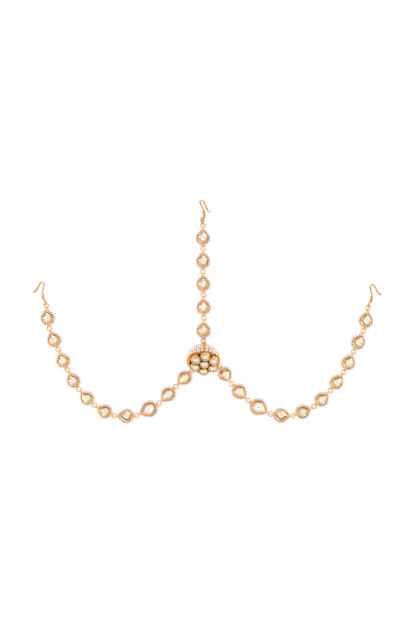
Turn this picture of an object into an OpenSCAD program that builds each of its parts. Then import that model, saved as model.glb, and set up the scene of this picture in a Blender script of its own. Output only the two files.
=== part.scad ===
// Matha patti: a head ornament of three strands of pear stones that meet at a domed pendant.
// It lies face up with its strands spread. +Z is up, the backs lie on Z = 0, and the top strand
// runs towards +Y. Each strand starts at the pendant, and its hook is at its far end.

/* [Pear settings] */
// Width of a setting's gold rim
pear_w = 8.6; // [8:0.1:9.4]
// Length of a setting's gold rim, from the round end to the tip
pear_l = 10.6; // [10:0.1:12]
// How straight the sides run to the tip, as a share
side_straight = 0.92; // [0.7:0.01:0.95]
// Thickness of the back plate
plate_t = 0.5; // [0.4:0.05:0.6]
// Height of the rim above the back
rim_h = 1.8; // [1.5:0.05:2]
// Thickness of the rim
rim_t = 0.65; // [0.5:0.05:0.8]
// Width of the groove between the rim and the stone's cup
groove_w = 0.35; // [0.25:0.05:0.5]
// Height of the cup above the back
cup_h = 3.1; // [2.9:0.05:3.6]
// Width of the bezel that holds the stone, seen from the front
bezel_w = 0.75; // [0.7:0.05:1.2]
// Thickness of the cup's wall
cup_wall = 0.4; // [0.4:0.05:0.6]
// Height of a pear stone's table above its cup
stone_rise = 0.2; // [0.1:0.05:0.5]

/* [Pearl strings] */
// Diameter of the seed pearls round each setting
pearl_d = 1.6; // [1.3:0.05:1.7]
// Diameter of the seed pearls on the dome
dome_pearl_d = 1.5; // [1.2:0.05:1.6]
// Rows of seed pearls on the dome
dome_rows = 5; // [3:1:5]
// Half the break that a string leaves for the loop at each end of a setting
string_break = 1.35; // [1.3:0.05:1.6]

/* [Links and loops] */
// Diameter of a jump ring, to the middle of its wire
link_d = 3.8; // [3.6:0.05:4.4]
// Wire of the jump rings
link_wire = 0.85; // [0.7:0.05:0.95]
// Diameter of the loops soldered to the settings, the dome and the hooks, to the middle of the wire
loop_d = 2.1; // [2.05:0.05:2.3]
// Wire of those loops
loop_wire = 0.85; // [0.7:0.05:0.9]
// Distance from a setting's rim to the middle of its loop
loop_reach = 1.95; // [1.9:0.05:2.3]

/* [Pendant] */
// Outer diameter of the dome's metal
dome_d = 24.6; // [24:0.2:26]
// Wall of the dome
dome_wall = 1; // [0.8:0.05:1.3]
// Angle that the dome's mouth leans from facing straight up
dome_lean = 47; // [44:1:50]
// Round stones set round the dome's mouth
rim_stones = 26; // [20:1:27]
// Diameter of those stones
rim_stone_d = 2.3; // [2:0.05:2.4]
// Height of the band that holds them
band_h = 2.9; // [2.8:0.05:3.2]
// Thickness of that band outside the dome's wall
band_t = 0.8; // [0.7:0.05:1]
// Outer diameter of each of the flower's seven cups
petal_d = 7.5; // [7.2:0.1:7.8]
// Distance between the cups' middles
petal_pitch = 8.05; // [8:0.05:8.3]
// Height of the flower's cups
petal_h = 3.1; // [2.9:0.05:3.6]
// Diameter of the flower's stones that shows inside their bezels
petal_show_d = 4.4; // [4.2:0.05:4.6]
// Turn of the band's stones round the dome's mouth
band_turn = 3; // [0:0.5:13]
// Turn of the flower in the dome's mouth
flower_turn = -5; // [-30:1:30]
// Angle that the flower leans off the mouth, towards facing straight up
flower_lean = 6; // [0:1:7]
// Shift of the flower to the right of the mouth's middle
flower_right = 0.95; // [0:0.05:1]
// Shift of the flower towards the top strand
flower_up = 0.6; // [0:0.05:0.7]

/* [Hooks] */
// Length of a hook from its eye to its crook
hook_l = 17.6; // [17:0.2:20]
// Wire of a hook
hook_wire = 1.1; // [0.9:0.05:1.2]
// Wire wrapped round a hook's neck
wrap_wire = 0.6; // [0.5:0.05:0.65]
// Turns of that wire
wrap_turns = 6; // [3:1:6]
// Bead of solder that the wrap ends in
wrap_end_d = 2.2; // [1.8:0.1:2.2]
// Bare neck between a hook's eye and its wrap
neck_bare = 0.7; // [0.4:0.1:0.9]

/* [Hidden] */
$fn = 48;
// Gap left between one piece and the next
fit = 0.1;
// Amount by which a soldered piece runs into the next
bite = 0.2;
// Small slope on the edges of bands and cups
chamfer = 0.15;

// Each strand's pears, from the pendant out: size share, roll about the strand, rise of the near end
LEFT_PEARS = [
    [1.02, 0, 1.1], [1.05, 0, 0], [1.2, 0, 0], [1.02, 16, 0], [0.98, 0, 0],
    [0.96, 0, 0], [0.96, 0, 0], [0.97, 0, 0], [1, 0, 0], [1.02, 0, 0]
];
RIGHT_PEARS = [
    [0.98, 0, 2.4], [1.06, 0, 0], [1.24, 0, 0], [1.03, -16, 0], [1, 0, 0],
    [1, 0, 0], [0.98, 0, 0], [1, 0, 0], [1.02, 0, 0], [1.02, 0, 0]
];
TOP_PEARS = [[1.02, -8, 0], [1.02, -8, 0], [1.02, -8, 0], [1.02, 0, 0], [1.02, 0, 0]];

// Points that each strand lies along, from the dome's centre, after its loop on the dome
LEFT_ROUTE = [
    [-22.2, -21.6], [-35.2, -34.5], [-53.4, -44.4], [-72.7, -44.2], [-87.9, -35.9],
    [-100.4, -22.7], [-109, -7.7], [-116.2, 8.5], [-123.3, 25.3], [-125.9, 43.9], [-126.9, 50]
];
RIGHT_ROUTE = [
    [21.6, -17.9], [34.8, -31.7], [53.4, -43.3], [72.4, -44.4], [89.2, -36.7],
    [102.2, -23.7], [112.4, -9.3], [120.5, 7.3], [128.5, 24.3], [132, 42.7], [132.8, 49]
];
TOP_ROUTE = [[0.2, 34.7], [-0.2, 71.1], [-0.4, 108.3], [-0.9, 116]];

// Where each side strand's loop sits on the dome: heading round it, and angle below its middle
LEFT_LOOP = [222, 46];
RIGHT_LOOP = [-13.6, 36];

// How far a hook's neck leans from its strand, and its bends from the eye on: straight run and
// bend radius as shares of the hook's length, and turn
SIDE_LEAN = 26;
SIDE_BENDS = [[0.291, 0.17, -37], [0.43, 0.1, 164], [0.284, 0.3, -41], [0.04, 0, 0]];
TOP_LEAN = 10;
TOP_BENDS = [[0.385, 0.14, -36], [0.434, 0.09, 183], [0.418, 0.12, -46], [0.09, 0, 0]];

GOLD = [0.86, 0.64, 0.38];
PEARL = [0.93, 0.87, 0.84];
STONE = [0.93, 0.93, 0.9];

// Pear outline: a round end whose arc passes into two long arcs that meet at the tip.
// It is drawn for a size share s and at an offset d out from the gold rim.
function round_r(s) = s * pear_w / 2;
function tip_y(s) = s * (pear_l - pear_w / 2);
shoulder = asin(side_straight * round_r(1) / tip_y(1));
function bow(s) = (tip_y(s) ^ 2 - round_r(s) ^ 2) / (2 * (round_r(s) - tip_y(s) * sin(shoulder)));
function bow_x(s) = bow(s) * cos(shoulder);
function bow_y(s) = bow(s) * sin(shoulder);
function tip_turn(s, d) = acos(bow_x(s) / (round_r(s) + bow(s) + d));

// A point of that outline, with u from 0 at the tip, through 0.5 at the round end, back to 1.
// The long arcs take an eighth of the way each.
side_u = 1 / 8;
outline_points = 32;
function pear_point(s, d, u) =
    u > 0.5 ? mirrored(pear_point(s, d, 1 - u)) :
    let (r = round_r(s) + d)
    u > side_u
        ? let (a = shoulder - (90 + shoulder) * (u - side_u) / (0.5 - side_u)) r * [cos(a), sin(a)]
        : let (
            a = tip_turn(s, d) + (shoulder - tip_turn(s, d)) * u / side_u,
            bow_r = r + bow(s)
        ) [bow_r * cos(a) - bow_x(s), bow_r * sin(a) - bow_y(s)];
function mirrored(p) = [-p[0], p[1]];
function circle_point(r, u) = r * [sin(360 * u), cos(360 * u)];

// Levels and offsets of a setting
cup_out = -(rim_t + groove_w);
lip_in = cup_out - bezel_w;
seat_out = cup_out - cup_wall;
lip_t = 0.35;
lip_low = cup_h - 0.6;
crest_w = 0.45;
pearl_out = fit + pearl_d / 2;
pearl_z = plate_t + fit + pearl_d / 2;
flange_out = pearl_out;
loop_z = (loop_d + loop_wire) / 2 + 0.02;
stem_d = 1.1;

// Stones: the girdle rests under the lip, and the table stands above it
stone_out = seat_out - fit;
girdle_drop = 0.55;
girdle_t = 0.25;
girdle_z = lip_low - girdle_drop;
table_out = lip_in - 0.9;

// Distance between a setting's two loops, and the height of the line through them
function loop_span(s) = round_r(s) + tip_y(s) + 2 * loop_reach;
function axis_z(s, roll) = (round_r(s) + flange_out) * abs(sin(roll)) + loop_z * cos(roll);

// Sizes of the pendant
dome_r = dome_d / 2;
row_r = dome_r + fit + dome_pearl_d / 2;
dome_out = row_r + dome_pearl_d / 2;
band_low = 0.6 - band_h;
band_top = band_low + band_h;
band_out = dome_r + band_t;
mouth_r = dome_r - 1.6;
stone_level = (band_top + band_low) / 2;
pole_reach = (dome_out - loop_z) / cos(dome_lean);
side_reach = dome_out + 1.1;
row_first = asin((fit + dome_pearl_d / 2 - band_low) / row_r);
row_step = 2 * asin((dome_pearl_d + fit) / 2 / row_r);
petal_z = band_top + 3 * fit;
petal_lip = 0.6;
petal_stone_r = petal_d / 2 - 1.1 - fit;
flower_edge = petal_pitch + petal_d / 2;
collar_t = 0.9;

// A smooth curve through the points of a route. It runs on straight past the last point.
function bend_at(p, q, r, s, t) =
    0.5 * (2 * q + (r - p) * t + (2 * p - 5 * q + 4 * r - s) * t ^ 2 + (3 * q - p - 3 * r + s) * t ^ 3);
function on_route(route, t) =
    let (n = len(route) - 1, i = min(floor(t), n - 1), f = t - i)
    t >= n ? route[n] + (route[n] - route[n - 1]) * (t - n) :
    bend_at(
        i > 0 ? route[i - 1] : 2 * route[0] - route[1], route[i], route[i + 1],
        i < n - 1 ? route[i + 2] : 2 * route[n] - route[n - 1], f
    );

// The place on a route that lies a straight distance away from another place on it
function place_at(route, from, distance, low, high, tries = 30) =
    tries == 0 ? low :
    let (middle = (low + high) / 2)
    norm(on_route(route, middle) - on_route(route, from)) < distance
        ? place_at(route, from, distance, middle, high, tries - 1)
        : place_at(route, from, distance, low, middle, tries - 1);
function next_place(route, from, distance) = place_at(route, from, distance, from, from + 4);
function flat_part(distance, rise) = sqrt(distance ^ 2 - rise ^ 2);
function raised(p, z) = [p[0], p[1], z];

// The loops that a strand passes: the dome's loop, two for each pear, and the hook's eye
function loops_on(route, pears, i, t, z) =
    i == len(pears)
        ? let (eye = next_place(route, t, flat_part(link_d, loop_z - z)))
            [raised(on_route(route, eye), loop_z)]
        : let (
            s = pears[i][0],
            far_z = axis_z(s, pears[i][1]),
            near_z = far_z + pears[i][2],
            near = next_place(route, t, flat_part(link_d, near_z - z)),
            far = next_place(route, near, flat_part(loop_span(s), pears[i][2]))
        )
        concat(
            [raised(on_route(route, near), near_z), raised(on_route(route, far), far_z)],
            loops_on(route, pears, i + 1, far, far_z)
        );
function strand(start, route, pears) =
    concat([start], loops_on(concat([[start[0], start[1]]], route), pears, 0, 0, start[2]));

function side_start(way) =
    [0, 0, dome_out]
    + side_reach * [cos(way[0]) * cos(way[1]), sin(way[0]) * cos(way[1]), -sin(way[1])];
left_loops = strand(side_start(LEFT_LOOP), LEFT_ROUTE, LEFT_PEARS);
right_loops = strand(side_start(RIGHT_LOOP), RIGHT_ROUTE, RIGHT_PEARS);
top_loops = strand([0, pole_reach * sin(dome_lean), loop_z], TOP_ROUTE, TOP_PEARS);

// The dome's centre, placed so that the whole ornament lies evenly round the origin
function last(v) = v[len(v) - 1];
lowest_y = min([for (p = concat(left_loops, right_loops)) p[1]]) - pear_w / 2 - pearl_d;
highest_y = last(top_loops)[1] + hook_l + hook_wire;
pendant_at = [
    -(last(left_loops)[0] + last(right_loops)[0]) / 2,
    -(highest_y + lowest_y) / 2,
    dome_out
];

function numbered(name, count) = [for (i = [1:count]) str(name, i)];

// Moves the strands and the pendant from the dome's centre to where the ornament lies
module laid() translate([pendant_at[0], pendant_at[1], 0]) children();

// Turns +Y to run from one point to another, with X kept level
module from_to(p, q) {
    d = q - p;
    translate(p)
        rotate([asin(d[2] / norm(d)), 0, atan2(d[1], d[0]) - 90])
            children();
}

module ring(middle_d, wire)
    rotate_extrude() translate([middle_d / 2, 0]) circle(d = wire);

// A small wire loop that stands on edge along Y
module loop() rotate([0, 90, 0]) ring(loop_d, loop_wire);

// A short solid rod along +Y
module rod(length, diameter) rotate([-90, 0, 0]) cylinder(h = length, d = diameter);

// A block with the pear outline, between two heights
module pear_block(s, d, low, high)
    translate([0, 0, low]) linear_extrude(high - low)
        polygon([for (i = [0:outline_points - 1]) pear_point(s, d, i / outline_points)]);

module rim(s) difference() {
    pear_block(s, 0, plate_t - bite, rim_h);
    pear_block(s, -rim_t, 0, cup_h);
}

// The stone's cup: a deep seat under a thin lip, with a raised crest round it
module cup(s) difference() {
    union() {
        pear_block(s, cup_out, plate_t - bite, lip_low + lip_t);
        pear_block(s, cup_out - chamfer, plate_t, cup_h);
    }
    pear_block(s, seat_out, plate_t, lip_low);
    pear_block(s, lip_in, plate_t + bite, 2 * cup_h);
    pear_block(s, cup_out - chamfer - crest_w, lip_low + lip_t, 2 * cup_h);
}

// One setting, lying on its back with its tip towards +Y
module setting(s) {
    pear_block(s, flange_out, 0, plate_t);
    rim(s);
    cup(s);
    for (end = [[0, tip_y(s)], [180, round_r(s)]]) rotate([0, 0, end[0]]) {
        translate([0, end[1] + loop_reach, loop_z]) loop();
        translate([0, end[1] - rim_t / 2, loop_z]) rod(loop_reach + rim_t / 2 - loop_d / 2, stem_d);
    }
}

// Facets between a table of n corners and a girdle of 2n, with a point below
module cut_stone(table, girdle, table_z, edge_z, culet) {
    n = len(table);
    m = 2 * n;
    low = n + m;
    points = concat(
        [for (p = table) raised(p, table_z)],
        [for (p = girdle) raised(p, edge_z)],
        [for (p = girdle) raised(p, edge_z - girdle_t)],
        [culet]
    );
    faces = concat(
        [[for (i = [0:n - 1]) i]],
        [for (i = [0:n - 1]) [(i + 1) % n, i, n + 2 * i + 1]],
        [for (i = [0:n - 1]) [i, n + 2 * i, n + 2 * i + 1]],
        [for (i = [0:n - 1]) [i, n + (2 * i + m - 1) % m, n + 2 * i]],
        [for (j = [0:m - 1]) [n + (j + 1) % m, n + j, low + j]],
        [for (j = [0:m - 1]) [n + (j + 1) % m, low + j, low + (j + 1) % m]],
        [for (j = [0:m - 1]) [low + (j + 1) % m, low + j, low + m]]
    );
    polyhedron(points, faces);
}

module pear_stone(s) {
    corners = 8;
    cut_stone(
        [for (i = [0:corners - 1]) pear_point(s, table_out, i / corners)],
        [for (j = [0:2 * corners - 1]) pear_point(s, stone_out, j / corners / 2)],
        cup_h + stone_rise, girdle_z, [0, 0, plate_t + fit]
    );
}

module round_stone(d, table_d, corners, table_z, edge_z, culet_z)
    cut_stone(
        [for (i = [0:corners - 1]) circle_point(table_d / 2, i / corners)],
        [for (j = [0:2 * corners - 1]) circle_point(d / 2, j / corners / 2)],
        table_z, edge_z, [0, 0, culet_z]
    );

// A closed cord through a list of flat points at one height, as rings of corners
module cord(points, z, diameter, corners) {
    n = len(points);
    rings = [for (i = [0:n - 1])
        let (
            along = points[min(i + 1, n - 1)] - points[max(i - 1, 0)],
            out = [along[1], -along[0]] / norm(along)
        )
        for (j = [0:corners - 1])
            let (a = 360 * (j + 0.5) / corners)
            raised(points[i] + diameter / 2 * cos(a) * out, z + diameter / 2 * sin(a))
    ];
    walls = [for (i = [0:n - 2]) for (j = [0:corners - 1])
        let (k = (j + 1) % corners)
        [i * corners + j, i * corners + k, (i + 1) * corners + k, (i + 1) * corners + j]
    ];
    polyhedron(rings, concat(
        [[for (j = [corners - 1:-1:0]) j]], walls, [[for (j = [0:corners - 1]) (n - 1) * corners + j]]
    ));
}

// Where the string of seed pearls ends near the tip, and near the round end
function tip_end(s) = side_u * string_break / pear_point(s, pearl_out, side_u)[0];
function round_end(s) =
    0.5 - (0.5 - side_u) * asin(string_break / (round_r(s) + pearl_out)) / (90 + shoulder);

// The string of seed pearls round one setting, in two halves, as one smooth cord each
module pearl_string(s) {
    steps = 8;
    for (side = [0, 1]) mirror([side, 0, 0])
        cord(
            [for (i = [0:steps])
                pear_point(s, pearl_out, tip_end(s) + (round_end(s) - tip_end(s)) * i / steps)],
            pearl_z, pearl_d, 8
        );
}

// Puts a piece on the pear of a strand where that pear's setting lies
module on_pear(loops, pears, i) {
    s = pears[i][0];
    laid() from_to(loops[2 * i + 1], loops[2 * i + 2])
        rotate([0, pears[i][1], 0])
            translate([0, round_r(s) + loop_reach, -loop_z])
                children();
}

module strand_setting(loops, pears, i)
    color(GOLD) on_pear(loops, pears, i) setting(pears[i][0]);

module strand_stones(loops, pears)
    color(STONE) for (i = [0:len(pears) - 1]) on_pear(loops, pears, i) pear_stone(pears[i][0]);

module strand_pearls(loops, pears)
    color(PEARL) for (i = [0:len(pears) - 1]) on_pear(loops, pears, i) pearl_string(pears[i][0]);

// A jump ring lies between each two loops that face each other
module strand_links(loops)
    color(GOLD) for (i = [0:2:len(loops) - 2]) laid()
        from_to(loops[i], loops[i + 1])
            translate([0, link_d / 2, 0]) ring(link_d, link_wire);

// Points along straight runs and bends, from a table of shares of a length. The heading is
// measured clockwise from +Y.
function bent(bends, at, heading, i = 0) =
    i == len(bends) ? [] :
    let (
        start = at + hook_l * bends[i][0] * ahead(heading),
        turn = bends[i][2],
        r = hook_l * bends[i][1] * sign(turn),
        middle = start + r * ahead(heading + 90),
        steps = ceil(abs(turn) / 20),
        arc = [for (k = [1:1:steps]) middle - r * ahead(heading + turn * k / steps + 90)]
    )
    concat([start], arc, bent(bends, last(concat([start], arc)), heading + turn, i + 1));
function ahead(heading) = [sin(heading), cos(heading)];

// The turns of wire round a hook's neck, turned as one grooved sleeve along +Z
module wrap() {
    low_r = hook_wire / 2 + wrap_wire / 3;
    high_r = hook_wire / 2 + wrap_wire;
    rotate_extrude() polygon(concat(
        [[0, 0]],
        [for (i = [0:wrap_turns - 1], p = [[0, low_r], [0.2, high_r], [0.8, high_r]])
            [p[1], wrap_wire * (i + p[0])]],
        [[low_r, wrap_wire * wrap_turns], [0, wrap_wire * wrap_turns]]
    ));
}

// A hook whose eye stands on edge at the origin. It slopes until its crook touches the surface.
module hook(bends, lean) {
    slope = asin((loop_z - hook_wire / 2 - fit) / (hook_l + hook_wire));
    path = concat([[0, loop_d / 2]], bent(bends, [0, loop_d / 2], 0));
    loop();
    rotate([-slope, 0, 0]) rotate([0, 0, -lean]) {
        cord(path, 0, hook_wire, 10);
        translate(last(path)) sphere(d = 1.3 * hook_wire);
        translate([0, (loop_d + loop_wire) / 2 + neck_bare, 0]) {
            rotate([-90, 0, 0]) wrap();
            translate([0, wrap_wire * wrap_turns + wrap_end_d / 2 - 2 * bite, 0]) sphere(d = wrap_end_d);
        }
    }
}

module strand_hook(loops, bends, lean, flip)
    color(GOLD) laid() translate(last(loops)) mirror([flip ? 1 : 0, 0, 0]) hook(bends, lean);

// Puts a piece where the pendant's dome lies, with +Z out of its mouth
module at_pendant() translate(pendant_at) rotate([dome_lean, 0, 0]) children();

// Puts a piece at a side strand's loop on the dome, with +X straight out
module at_side(way) translate(pendant_at) rotate([0, way[1], way[0]]) children();

// The dome's shell, its thick mouth and the band for its stones, as one turned piece
module dome_body() {
    rotate_extrude() {
        difference() {
            circle(dome_r);
            circle(dome_r - dome_wall);
            translate([-2 * dome_r, -2 * dome_r]) square([2 * dome_r, 4 * dome_r]);
            translate([-dome_r, 0]) square([3 * dome_r, 2 * dome_r]);
        }
        polygon([
            [mouth_r, band_low], [band_out, band_low], [band_out, band_top - chamfer],
            [band_out - chamfer, band_top], [mouth_r + chamfer, band_top], [mouth_r, band_top - chamfer]
        ]);
    }
}

// Puts a piece on the mouth's rim, level with the flower's underside, with Y across the lean
module at_flower_edge()
    translate([flower_right, flower_edge + flower_up, petal_z]) rotate([-flower_lean, 0, 0]) children();

// Puts a piece in the middle of the flower's underside
module at_flower()
    at_pendant() at_flower_edge() translate([0, -flower_edge, 0]) rotate([0, 0, flower_turn]) children();

// The collar that carries the flower on the band, cut off along the flower's lean
module collar() {
    tall = petal_z + 2 * dome_r * sin(flower_lean);
    intersection() {
        translate([0, 0, band_top - bite]) difference() {
            cylinder(h = tall, r = mouth_r + collar_t);
            translate([0, 0, -bite]) cylinder(h = tall + 2 * bite, r = mouth_r);
        }
        at_flower_edge() translate([-2 * dome_r, -3 * dome_r, -dome_r - 3 * fit])
            cube([4 * dome_r, 4 * dome_r, dome_r]);
    }
}

module around_band()
    for (i = [0:rim_stones - 1]) rotate([0, 0, band_turn + (i + 0.5) * 360 / rim_stones])
        translate([dome_r, 0, stone_level]) rotate([0, 90, 0]) children();

module dome() {
    cap_h = 2.6;
    cap_d = 6.4;
    neck_d = 1.5;
    color(GOLD) {
        at_pendant() {
            difference() {
                dome_body();
                around_band() cylinder(h = 2 * band_t, d = rim_stone_d + 2 * fit);
            }
            collar();
            translate([0, 0, bite - dome_r]) mirror([0, 0, 1]) {
                cylinder(h = cap_h, d1 = cap_d, d2 = 2 * neck_d);
                cylinder(h = pole_reach - dome_r + bite - loop_d / 2, d = neck_d);
            }
            translate([0, 0, -pole_reach]) loop();
        }
        for (way = [LEFT_LOOP, RIGHT_LOOP]) at_side(way)
            translate([dome_r - bite, 0, 0]) rotate([0, 90, 0])
                cylinder(h = side_reach - loop_d / 2 - dome_r + bite, d = stem_d);
        for (loops = [left_loops, right_loops]) laid() from_to(loops[0], loops[1]) loop();
    }
}

// Rows of seed pearls round the dome, as smooth cords, left open where the side loops stand
module dome_pearls() {
    clear_d = loop_d + loop_wire + 4 * fit;
    color(PEARL) difference() {
        at_pendant() for (i = [0:dome_rows - 1]) {
            tilt = row_first + i * row_step;
            translate([0, 0, -row_r * sin(tilt)]) ring(2 * row_r * cos(tilt), dome_pearl_d);
        }
        for (way = [LEFT_LOOP, RIGHT_LOOP]) at_side(way)
            rotate([0, 90, 0]) cylinder(h = 2 * side_reach, d = clear_d);
    }
}

module rim_stones()
    color(STONE) at_pendant() around_band()
        round_stone(rim_stone_d, 0.55 * rim_stone_d, 6, band_t + 0.45, band_t - fit, fit);

module petal_places() {
    children();
    for (a = [90:60:390]) rotate([0, 0, a]) translate([petal_pitch, 0, 0]) children();
}

// The flower's seven cups, soldered side by side
module flower() {
    wall_r = petal_d / 2;
    show_r = petal_show_d / 2;
    seat_r = petal_stone_r + fit;
    floor_t = 0.5;
    bridge_d = 1.2;
    bridge_l = petal_pitch - petal_d + 4 * bite;
    color(GOLD) at_flower() {
        petal_places() rotate_extrude() polygon([
            [0, 0], [wall_r, 0], [wall_r, petal_h - 3 * chamfer], [wall_r - 3 * chamfer, petal_h],
            [show_r, petal_h - petal_lip / 2], [show_r, petal_h - petal_lip],
            [seat_r, petal_h - petal_lip], [seat_r, floor_t], [0, floor_t]
        ]);
        for (a = [90:60:390]) rotate([0, 0, a]) {
            translate([(petal_pitch - bridge_l) / 2, 0, bridge_d])
                rotate([0, 90, 0]) cylinder(h = bridge_l, d = bridge_d);
            translate([petal_pitch, 0, bridge_d]) rotate([0, 0, 120])
                translate([(petal_pitch - bridge_l) / 2, 0, 0])
                    rotate([0, 90, 0]) cylinder(h = bridge_l, d = bridge_d);
        }
    }
}

// One of the flower's stones: the first is in the middle, and the others go round from the top
module flower_stone(i) {
    low = 0.5 + fit;
    at_z = petal_h - petal_lip - girdle_drop;
    color(STONE) at_flower() rotate([0, 0, 90 + 60 * (i - 2)])
        translate([i == 1 ? 0 : petal_pitch, 0, 0])
            round_stone(2 * petal_stone_r, petal_show_d - 1.8, 8, petal_h + stone_rise, at_z, low);
}

for (i = [1:len(LEFT_PEARS)])
    strand_setting(left_loops, LEFT_PEARS, i - 1);
for (i = [1:len(RIGHT_PEARS)])
    strand_setting(right_loops, RIGHT_PEARS, i - 1);
for (i = [1:len(TOP_PEARS)])
    strand_setting(top_loops, TOP_PEARS, i - 1);
strand_stones(left_loops, LEFT_PEARS);  // left_stones
strand_stones(right_loops, RIGHT_PEARS);  // right_stones
strand_stones(top_loops, TOP_PEARS);  // top_stones
strand_pearls(left_loops, LEFT_PEARS);  // left_pearls
strand_pearls(right_loops, RIGHT_PEARS);  // right_pearls
strand_pearls(top_loops, TOP_PEARS);  // top_pearls
strand_links(left_loops);  // left_links
strand_links(right_loops);  // right_links
strand_links(top_loops);  // top_links
strand_hook(left_loops, SIDE_BENDS, SIDE_LEAN, true);  // left_hook
strand_hook(right_loops, SIDE_BENDS, SIDE_LEAN, false);  // right_hook
strand_hook(top_loops, TOP_BENDS, TOP_LEAN, false);  // top_hook
dome();
dome_pearls();
rim_stones();
flower();
for (i = [1:7]) flower_stone(i);
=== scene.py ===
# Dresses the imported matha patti: a head ornament of three strands of pear stones that meet at a
# domed pendant. Lengths are in millimetres and angles in degrees. Both are turned into Blender's
# own units where a mesh is made.
import math
from functools import partial

import bpy
from mathutils import Matrix, Vector


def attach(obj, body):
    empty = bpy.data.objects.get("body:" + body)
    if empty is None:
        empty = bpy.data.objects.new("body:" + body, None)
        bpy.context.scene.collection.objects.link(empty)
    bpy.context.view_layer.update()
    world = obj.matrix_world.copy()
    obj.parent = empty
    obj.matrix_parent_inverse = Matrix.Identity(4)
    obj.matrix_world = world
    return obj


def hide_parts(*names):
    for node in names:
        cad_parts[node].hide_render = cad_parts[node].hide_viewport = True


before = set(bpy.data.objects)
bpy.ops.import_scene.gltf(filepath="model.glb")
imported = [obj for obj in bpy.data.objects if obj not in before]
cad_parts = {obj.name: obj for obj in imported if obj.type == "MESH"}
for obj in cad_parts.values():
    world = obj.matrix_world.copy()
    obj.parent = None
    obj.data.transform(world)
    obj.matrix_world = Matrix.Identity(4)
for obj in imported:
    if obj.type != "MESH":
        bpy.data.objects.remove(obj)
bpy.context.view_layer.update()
MM = 0.001

# The ornament's sizes, as in its CAD source
PEAR_W, PEAR_L, SIDE_STRAIGHT = 8.6, 10.6, 0.92
LOOP_REACH, LOOP_Z = 1.95, 1.495
PLATE_T, RIM_T, RIM_H, GROOVE_W, CUP_H = 0.5, 0.65, 1.8, 0.35, 3.1
STONE_RISE, STRING_BREAK, PEARL_GAP, DOME_PEARL_D, PEARL_ROWS = 0.2, 1.35, 0.1, 1.5, 5
LOOP_D, LOOP_WIRE, LINK_D, SIDE_STEM, STRING_D = 2.1, 0.85, 3.8, 1.1, 1.6
DOME_R, DOME_LEAN, BAND_LOW, BAND_TOP, BAND_T = 12.3, 47, -2.3, 0.6, 0.8
RIM_STONES, RIM_STONE_D, BAND_TURN = 26, 2.3, 3
PETAL_D, PETAL_PITCH, PETAL_H, PETAL_Z = 7.5, 8.05, 3.1, 0.9
FLOWER_TURN, FLOWER_LEAN, FLOWER_RIGHT, FLOWER_UP = -5, 6, 0.95, 0.6
HOOK_L, HOOK_WIRE, HOOK_SLOPE = 17.6, 1.1, 2.59
# Heading and fall of the way out to each side loop of the dome, in the world
SIDE_LOOPS = {"left": (222, 46), "right": (-13.6, 36)}

# Sizes of what only the scene has
SEED_D, SEED_OUT, SEED_APART = 1.85, 0.18, 0.02
SEED_FACETS, SEED_RINGS, SEED_SWELL = 12, 8, 1.04
THREAD_D, THREAD_POINTS, THREAD_END_X, THREAD_PAST_TIP, THREAD_PAST_END = 0.3, 24, 0.4, 0.55, 0.1
# The HEART sizes are those of the painted dark reflection on each stone's table
HEART_R, HEART_TOP_R, HEART_T, HEART_RISE = 0.85, 0.4, 0.06, 0.02
HEART_UP, HEART_WIDE, HEART_LONG = 0.25, 0.7, 1.5
SHANK_POINTS, SHANK_WIDTH, SHANK_SWELL = 90, 1.1, 0.3
EYE_ROOM, EYE_TURN = 0.3, 50
WRAP_WIRE, WRAP_TURNS, WRAP_STEPS, WRAP_SINK = 0.6, 5, 14, 0.04
BEAD_D, BEAD_X, BEAD_SINK, BEAD_Z = 2.5, -0.9, 0.5, 0.2
ROW_WIRE, ROW_POINTS, LOOP_ROOM = 0.5, 96, 0.7
STRAP_WIRE, STRAP_STONE, STRAP_BAND_RISE, STRAP_ROW_RISE = 2.5, 6, 0.25, 0.35
STRAP_BAND_TILTS, STRAP_ROW_TILTS = (-2.2, 0, 3, 6, 9), range(13, 59, 3)
STRAP_NARROW, STRAP_GROWS, STRAP_FLARE, FLARE_FROM, FLARE_STEPS = 0.4, 0.045, 0.3, 11, 8
COLLET_WIRE, COLLET_ROOM, COLLET_RISE = 0.4, 0.13, 0.06
FOOT_FADE = 1.4
# How finely outlines and bends are drawn
ARC_STEPS, OUTLINE_POINTS, BEND_STEP, BAND_CORNERS, CUP_CORNERS = 60, 400, 7, 48, 40

# Points that each strand lies along, from the dome's centre, after its loop on the dome
ROUTES = {
    "left": [
        (-22.2, -21.6), (-35.2, -34.5), (-53.4, -44.4), (-72.7, -44.2), (-87.9, -35.9),
        (-100.4, -22.7), (-109, -7.7), (-116.2, 8.5), (-123.3, 25.3), (-125.9, 43.9), (-126.9, 50),
    ],
    "right": [
        (21.6, -17.9), (34.8, -31.7), (53.4, -43.3), (72.4, -44.4), (89.2, -36.7),
        (102.2, -23.7), (112.4, -9.3), (120.5, 7.3), (128.5, 24.3), (132, 42.7), (132.8, 49),
    ],
    "top": [(0.2, 34.7), (-0.2, 71.1), (-0.4, 108.3), (-0.9, 116)],
}
# How much higher the first pear of each strand has its near loop than its far one
FIRST_RISE = {"left": 1.1, "right": 2.4, "top": 0}
# Span, in points of a route, and number of halvings of the search for a strand's next loop
SEARCH_SPAN, SEARCH_STEPS = 4, 30
# Size share and roll of each pear, from the pendant out
PEARS = {
    "left": [
        (1.02, 0), (1.05, 0), (1.2, 0), (1.02, 16), (0.98, 0),
        (0.96, 0), (0.96, 0), (0.97, 0), (1, 0), (1.02, 0),
    ],
    "right": [
        (0.98, 0), (1.06, 0), (1.24, 0), (1.03, -16), (1, 0),
        (1, 0), (0.98, 0), (1, 0), (1.02, 0), (1.02, 0),
    ],
    "top": [(1.02, -8), (1.02, -8), (1.02, -8), (1.02, 0), (1.02, 0)],
}
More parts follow.
